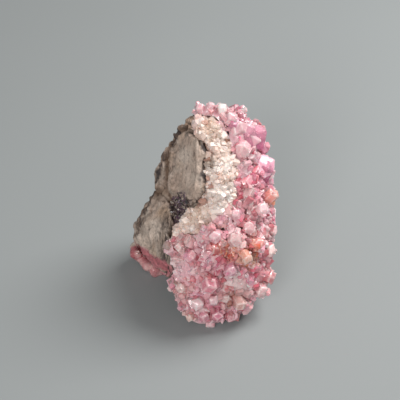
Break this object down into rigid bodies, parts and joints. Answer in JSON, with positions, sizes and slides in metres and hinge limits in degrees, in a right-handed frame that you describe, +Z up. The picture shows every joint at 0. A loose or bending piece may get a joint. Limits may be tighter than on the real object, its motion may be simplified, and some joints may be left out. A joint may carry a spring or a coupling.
{
  "type": "mineral specimen",
  "caption": "Cobaltoan calcite specimen: pink crystal druse and a cream granular calcite edge on a wedge of grey rock, resting on its cut base.",
  "frame": {"origin": "middle of the specimen's footprint box, on the plane that it rests on", "axes": "+Z up, the specimen's longest extent; the crystal druse faces -Y and +X, the bare rock faces -X and +Y"},
  "size_m": [0.0442, 0.047, 0.0577],
  "materials": {
    "grey_rock": "matte",
    "cream_calcite": "satin",
    "pink_calcite": "gloss",
    "rose_calcite": "gloss"
  },
  "bodies": {
    "root": {"rock": "grey_rock", "granular_calcite": "cream_calcite", "crystal_druse": "pink_calcite", "foot_crystals": "rose_calcite"}
  },
  "joints": []
}
